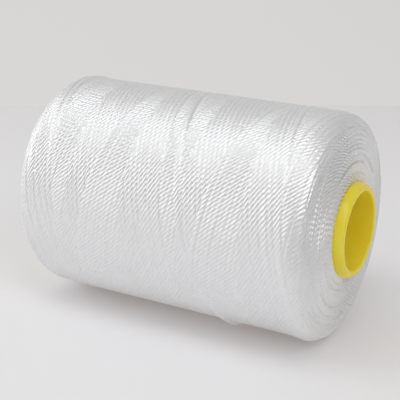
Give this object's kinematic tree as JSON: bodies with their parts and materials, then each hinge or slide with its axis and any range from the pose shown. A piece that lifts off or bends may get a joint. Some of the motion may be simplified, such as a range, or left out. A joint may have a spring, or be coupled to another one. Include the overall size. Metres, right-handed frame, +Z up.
{
  "type": "waxed thread spool",
  "caption": "Spool of thick twisted sewing thread, cross-wound as a fat cylinder on a thin plastic tube with rolled lips and a plain bore for a peg.",
  "frame": {"origin": "on the surface that the spool lies on, straight under the middle of its length", "axes": "+X along the spool's axis towards the end that the picture shows, +Z up, +Y horizontal, away from the viewer"},
  "size_m": [0.11, 0.072, 0.072],
  "materials": {
    "tube_plastic": "bright yellow moulded plastic, slightly translucent, satin gloss",
    "thread": "bright white twisted filament yarn with a silky gloss"
  },
  "bodies": {
    "root": {"core_tube": "tube_plastic", "thread_winding": "thread"}
  },
  "joints": []
}
